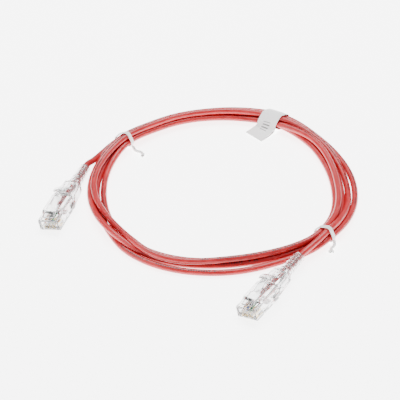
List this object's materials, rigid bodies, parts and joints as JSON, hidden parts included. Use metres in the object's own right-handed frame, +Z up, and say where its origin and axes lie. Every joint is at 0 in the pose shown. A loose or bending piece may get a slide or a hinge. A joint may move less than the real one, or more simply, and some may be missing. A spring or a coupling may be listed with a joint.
{
  "type": "ethernet patch cable",
  "caption": "Slim round ethernet patch cable wound in a flat coil, with a clear eight-way modular plug, sprung latch and snagless boot on each end.",
  "frame": {"origin": "midway between the two plugs, on the surface that they rest on: the bottom centre of the box round both plugs and boots", "axes": "+Z up from the resting surface; +X from plug a towards plug b, along the longer side of the box round the plugs; +Y from plug b towards the middle of the coil"},
  "size_m": [0.1727, 0.1799, 0.0142],
  "materials": {
    "clear_polycarbonate": "clear, moulded",
    "clear_soft_plastic": "clear, slightly cloudy",
    "red_jacket": "satin PVC",
    "gold_plate": "gold plated",
    "tie_white": "satin, wire core",
    "label_paper": "paper",
    "wire_white_orange": "satin insulation",
    "wire_orange": "satin insulation",
    "wire_white_green": "satin insulation",
    "wire_blue": "satin insulation",
    "wire_white_blue": "satin insulation",
    "wire_green": "satin insulation",
    "wire_white_brown": "satin insulation",
    "wire_brown": "satin insulation"
  },
  "bodies": {
    "cable": {"boot_a": "clear_soft_plastic", "boot_b": "clear_soft_plastic", "cable_coil": "red_jacket", "cable_tail_a": "red_jacket", "cable_tail_b": "red_jacket", "contact_a_1": "gold_plate", "contact_a_2": "gold_plate", "contact_a_3": "gold_plate", "contact_a_4": "gold_plate", "contact_a_5": "gold_plate", "contact_a_6": "gold_plate", "contact_a_7": "gold_plate", "contact_a_8": "gold_plate", "contact_b_1": "gold_plate", "contact_b_2": "gold_plate", "contact_b_3": "gold_plate", "contact_b_4": "gold_plate", "contact_b_5": "gold_plate", "contact_b_6": "gold_plate", "contact_b_7": "gold_plate", "contact_b_8": "gold_plate", "housing_a": "clear_polycarbonate", "housing_b": "clear_polycarbonate", "jacket_end_a": "red_jacket", "jacket_end_b": "red_jacket", "length_label": "label_paper", "strain_bar_a": "clear_polycarbonate", "strain_bar_b": "clear_polycarbonate", "twist_tie_a": "tie_white", "twist_tie_b": "tie_white", "wire_a_1": "wire_white_orange", "wire_a_2": "wire_orange", "wire_a_3": "wire_white_green", "wire_a_4": "wire_blue", "wire_a_5": "wire_white_blue", "wire_a_6": "wire_green", "wire_a_7": "wire_white_brown", "wire_a_8": "wire_brown", "wire_b_1": "wire_white_orange", "wire_b_2": "wire_orange", "wire_b_3": "wire_white_green", "wire_b_4": "wire_blue", "wire_b_5": "wire_white_blue", "wire_b_6": "wire_green", "wire_b_7": "wire_white_brown", "wire_b_8": "wire_brown"},
    "latch_a": {"latch_a": "clear_polycarbonate"},
    "latch_b": {"latch_b": "clear_polycarbonate"},
    "guard_a": {"latch_guard_a": "clear_soft_plastic"},
    "guard_b": {"latch_guard_b": "clear_soft_plastic"}
  },
  "joints": [
    {"name": "latch_press_a", "type": "hinge", "parent": "cable", "child": "latch_a", "pos_m": [-0.06457, 0.01383, 0.00857], "axis": [-0.9213, 0.3172, -0.225], "range_deg": [0, 8], "stiffness_Nm_per_rad": 0.3},
    {"name": "guard_press_a", "type": "hinge", "parent": "cable", "child": "guard_a", "pos_m": [-0.05684, 0.03714, 0.00979], "axis": [0.9213, -0.3172, 0.225], "range_deg": [0, 20], "stiffness_Nm_per_rad": 0.02},
    {"name": "latch_press_b", "type": "hinge", "parent": "cable", "child": "latch_b", "pos_m": [0.03982, -0.05554, 0.00857], "axis": [-0.8125, 0.5378, -0.225], "range_deg": [0, 8], "stiffness_Nm_per_rad": 0.3},
    {"name": "guard_press_b", "type": "hinge", "parent": "cable", "child": "guard_b", "pos_m": [0.05314, -0.03491, 0.00979], "axis": [0.8125, -0.5378, 0.225], "range_deg": [0, 20], "stiffness_Nm_per_rad": 0.02}
  ],
  "couplings": [
    {"joint": "guard_press_a", "follows": "latch_press_a", "ratio": 2.5},
    {"joint": "guard_press_b", "follows": "latch_press_b", "ratio": 2.5}
  ]
}
